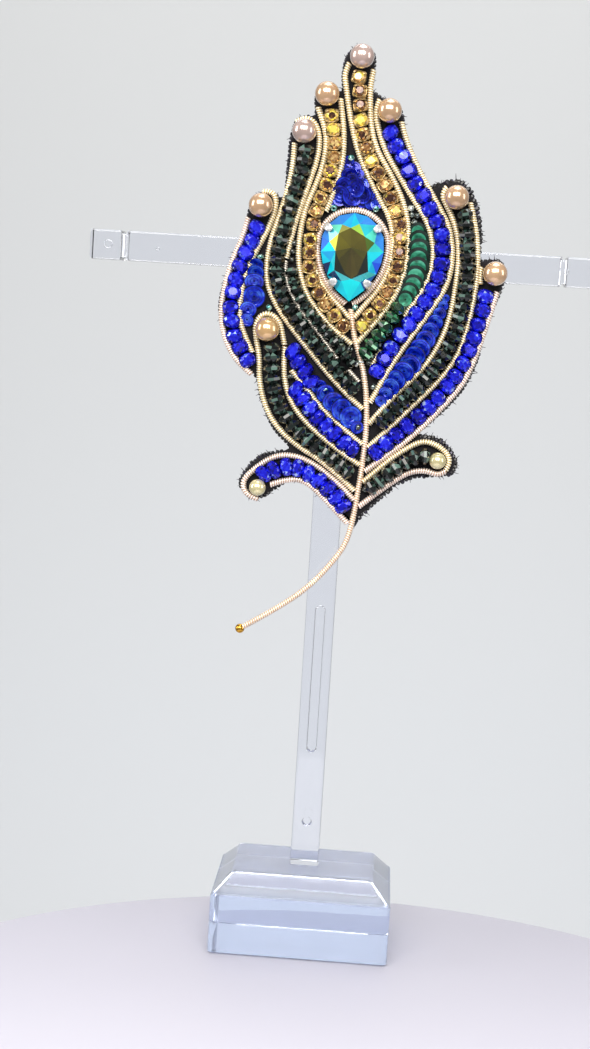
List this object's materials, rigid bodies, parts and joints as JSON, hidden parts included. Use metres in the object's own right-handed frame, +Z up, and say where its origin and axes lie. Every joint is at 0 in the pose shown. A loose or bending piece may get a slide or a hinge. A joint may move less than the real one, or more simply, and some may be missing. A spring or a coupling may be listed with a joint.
{
  "type": "peacock feather brooch on a T-bar display stand",
  "caption": "Beaded peacock feather brooch on felt, with gimp wires, cut stones, bead strings, sequins and pearls, pinned over the crossbar of a clear T-bar stand.",
  "frame": {"origin": "middle of the underside of the stand's base", "axes": "+Z up, X along the crossbar, -Y is the side that the brooch faces"},
  "size_m": [0.1064, 0.0306, 0.1903],
  "materials": {
    "acrylic": "clear polished acrylic",
    "felt": "black felt",
    "silver_metal": "polished",
    "gold_gimp": "coiled bright wire",
    "green_crystal": "faceted crystal with foil back",
    "pearl": "pearl lustre",
    "gold_stone": "faceted, foil backed",
    "blue_stone": "faceted, foil backed",
    "dark_glass": "faceted glass bead",
    "thread": "waxed thread",
    "green_sequin": "matte sequin",
    "blue_sequin": "glossy sequin"
  },
  "bodies": {
    "root": {"bar_pin": "silver_metal", "bead_threads": "thread", "blue_sequins_left": "blue_sequin", "blue_sequins_low": "blue_sequin", "blue_sequins_right": "blue_sequin", "blue_sequins_top": "blue_sequin", "blue_stones_left_leaf": "blue_stone", "blue_stones_left_low": "blue_stone", "blue_stones_left_outer": "blue_stone", "blue_stones_right_inner": "blue_stone", "blue_stones_right_outer": "blue_stone", "dark_beads_left": "dark_glass", "dark_beads_left_inner": "dark_glass", "dark_beads_left_low": "dark_glass", "dark_beads_right": "dark_glass", "dark_beads_right_leaf": "dark_glass", "eye_crystal": "green_crystal", "eye_setting": "silver_metal", "felt_base": "felt", "gimp_eye_ring": "gold_gimp", "gimp_left_1_inner": "gold_gimp", "gimp_left_1_outer": "gold_gimp", "gimp_left_2_inner": "gold_gimp", "gimp_left_2_outer": "gold_gimp", "gimp_left_3_inner": "gold_gimp", "gimp_left_3_outer": "gold_gimp", "gimp_left_4_inner": "gold_gimp", "gimp_left_4_outer": "gold_gimp", "gimp_left_5": "gold_gimp", "gimp_left_leaf_inner": "gold_gimp", "gimp_left_leaf_outer": "gold_gimp", "gimp_right_1_inner": "gold_gimp", "gimp_right_1_outer": "gold_gimp", "gimp_right_2_inner": "gold_gimp", "gimp_right_2_outer": "gold_gimp", "gimp_right_3_inner": "gold_gimp", "gimp_right_4_inner": "gold_gimp", "gimp_right_4_outer": "gold_gimp", "gimp_right_leaf_inner": "gold_gimp", "gimp_right_leaf_outer": "gold_gimp", "gold_stones_left": "gold_stone", "gold_stones_right": "gold_stone", "green_beads": "dark_glass", "green_sequins": "green_sequin", "pearl_left_1": "pearl", "pearl_left_2": "pearl", "pearl_left_3": "pearl", "pearl_left_4": "pearl", "pearl_left_leaf": "pearl", "pearl_right_2": "pearl", "pearl_right_3": "pearl", "pearl_right_4": "pearl", "pearl_right_leaf": "pearl", "pearl_top": "pearl", "silver_wire_left": "silver_metal", "stand_bar": "acrylic", "stand_base": "acrylic", "stand_post": "acrylic", "stem_wire": "gold_gimp"}
  },
  "joints": []
}
